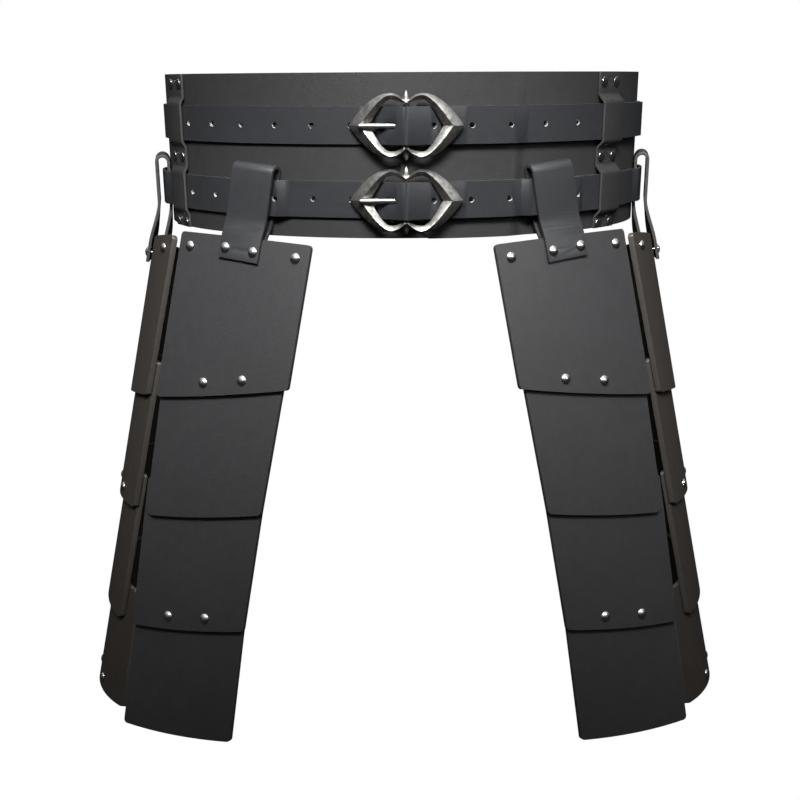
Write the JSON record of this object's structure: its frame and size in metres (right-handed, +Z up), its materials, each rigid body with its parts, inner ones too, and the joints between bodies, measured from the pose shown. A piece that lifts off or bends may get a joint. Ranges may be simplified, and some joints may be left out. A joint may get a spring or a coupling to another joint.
{
  "type": "skirt armour",
  "caption": "Black leather skirt armour: a lapped waist band with two buckled straps and four hanging tassets of overlapping riveted plates.",
  "frame": {"origin": "centre of the waist ring at half the height of the band", "axes": "+X to the viewer's right seen from the front, -Y out of the front, +Z up"},
  "size_m": [0.5606, 0.3516, 0.5302],
  "materials": {
    "band_leather": "satin black, fine grain",
    "strap_leather": "satin black, smooth, cool",
    "plate_leather": "satin black, faint mottling",
    "side_plate_leather": "satin black, slightly brown",
    "flesh_leather": "matt black flesh side",
    "polished_nickel": "polished nickel",
    "flat_nickel": "nickel, slightly dull",
    "antique_silver": "cast, antique silver with dark recesses"
  },
  "bodies": {
    "waist": {"waist_band": "band_leather", "upper_strap": "strap_leather", "lower_strap": "strap_leather", "left_keeper": "band_leather", "right_keeper": "band_leather", "keeper_rivets": "flat_nickel", "strap_fold_rivets": "flat_nickel", "front_left_hanger": "band_leather", "front_right_hanger": "band_leather", "side_left_hanger": "band_leather", "side_right_hanger": "band_leather"},
    "front_left_upper": {"front_left_plate_1": "plate_leather", "front_left_plate_2": "plate_leather", "front_left_upper_rivets": "polished_nickel", "front_left_leathers": "flesh_leather"},
    "front_left_lower": {"front_left_plate_3": "plate_leather", "front_left_plate_4": "plate_leather", "front_left_lower_rivets": "polished_nickel"},
    "front_right_upper": {"front_right_plate_1": "plate_leather", "front_right_plate_2": "plate_leather", "front_right_upper_rivets": "polished_nickel", "front_right_leathers": "flesh_leather"},
    "front_right_lower": {"front_right_plate_3": "plate_leather", "front_right_plate_4": "plate_leather", "front_right_lower_rivets": "polished_nickel"},
    "side_left_upper": {"side_left_plate_1": "side_plate_leather", "side_left_upper_rivets": "polished_nickel", "side_left_upper_leathers": "flesh_leather"},
    "side_left_middle": {"side_left_plate_2": "side_plate_leather", "side_left_plate_3": "side_plate_leather", "side_left_middle_rivets": "polished_nickel", "side_left_lower_leathers": "flesh_leather"},
    "side_left_lower": {"side_left_plate_4": "side_plate_leather", "side_left_lower_rivets": "polished_nickel"},
    "side_right_upper": {"side_right_plate_1": "side_plate_leather", "side_right_upper_rivets": "polished_nickel", "side_right_upper_leathers": "flesh_leather"},
    "side_right_middle": {"side_right_plate_2": "side_plate_leather", "side_right_plate_3": "side_plate_leather", "side_right_middle_rivets": "polished_nickel", "side_right_lower_leathers": "flesh_leather"},
    "side_right_lower": {"side_right_plate_4": "side_plate_leather", "side_right_lower_rivets": "polished_nickel"},
    "upper_buckle": {"upper_buckle_frame": "antique_silver"},
    "upper_tongue": {"upper_buckle_tongue": "antique_silver"},
    "lower_buckle": {"lower_buckle_frame": "antique_silver"},
    "lower_tongue": {"lower_buckle_tongue": "antique_silver"}
  },
  "joints": [
    {"name": "front_left_swing", "type": "hinge", "parent": "waist", "child": "front_left_upper", "pos_m": [-0.1119, -0.12031, -0.045], "axis": [-0.8922, 0.4517, 0], "range_deg": [-8, 60], "deforming": ["front_left_hanger"]},
    {"name": "front_left_fold", "type": "hinge", "parent": "front_left_upper", "child": "front_left_lower", "pos_m": [-0.1454, -0.14976, -0.23455], "axis": [0.9074, -0.3929, 0.1491], "range_deg": [0, 30], "deforming": ["front_left_leathers"]},
    {"name": "front_right_swing", "type": "hinge", "parent": "waist", "child": "front_right_upper", "pos_m": [0.1119, -0.12031, -0.045], "axis": [-0.8922, -0.4517, 0], "range_deg": [-8, 60], "deforming": ["front_right_hanger"]},
    {"name": "front_right_fold", "type": "hinge", "parent": "front_right_upper", "child": "front_right_lower", "pos_m": [0.1454, -0.14976, -0.23455], "axis": [0.9074, 0.3929, -0.1491], "range_deg": [0, 30], "deforming": ["front_right_leathers"]},
    {"name": "side_left_swing", "type": "hinge", "parent": "waist", "child": "side_left_upper", "pos_m": [-0.18999, -0.03369, -0.045], "axis": [-0.1953, 0.9808, 0], "range_deg": [-8, 45], "deforming": ["side_left_hanger"]},
    {"name": "side_left_upper_fold", "type": "hinge", "parent": "side_left_upper", "child": "side_left_middle", "pos_m": [-0.21249, -0.03595, -0.16968], "axis": [0.2358, -0.9539, 0.1859], "range_deg": [0, 10], "deforming": ["side_left_upper_leathers"]},
    {"name": "side_left_lower_fold", "type": "hinge", "parent": "side_left_middle", "child": "side_left_lower", "pos_m": [-0.24597, -0.0393, -0.35581], "axis": [0.1716, -0.9779, -0.1194], "range_deg": [0, 10], "deforming": ["side_left_lower_leathers"]},
    {"name": "side_right_swing", "type": "hinge", "parent": "waist", "child": "side_right_upper", "pos_m": [0.18999, -0.03369, -0.045], "axis": [-0.1953, -0.9808, 0], "range_deg": [-8, 45], "deforming": ["side_right_hanger"]},
    {"name": "side_right_upper_fold", "type": "hinge", "parent": "side_right_upper", "child": "side_right_middle", "pos_m": [0.21249, -0.03595, -0.16968], "axis": [0.2358, 0.9539, -0.1859], "range_deg": [0, 10], "deforming": ["side_right_upper_leathers"]},
    {"name": "side_right_lower_fold", "type": "hinge", "parent": "side_right_middle", "child": "side_right_lower", "pos_m": [0.24597, -0.0393, -0.35581], "axis": [0.1716, 0.9779, 0.1194], "range_deg": [0, 10], "deforming": ["side_right_lower_leathers"]},
    {"name": "upper_buckle_tilt", "type": "hinge", "parent": "waist", "child": "upper_buckle", "pos_m": [0.0025, -0.15205, 0.0216], "axis": [0, 0, 1], "range_deg": [-1.5, 0]},
    {"name": "upper_tongue_turn", "type": "hinge", "parent": "upper_buckle", "child": "upper_tongue", "pos_m": [0.0025, -0.15205, 0.0216], "axis": [0, 0, 1], "range_deg": [0, 6]},
    {"name": "lower_buckle_tilt", "type": "hinge", "parent": "waist", "child": "lower_buckle", "pos_m": [0.0025, -0.15205, -0.0294], "axis": [0, 0, 1], "range_deg": [-1.5, 0]},
    {"name": "lower_tongue_turn", "type": "hinge", "parent": "lower_buckle", "child": "lower_tongue", "pos_m": [0.0025, -0.15205, -0.0294], "axis": [0, 0, 1], "range_deg": [0, 6]}
  ]
}
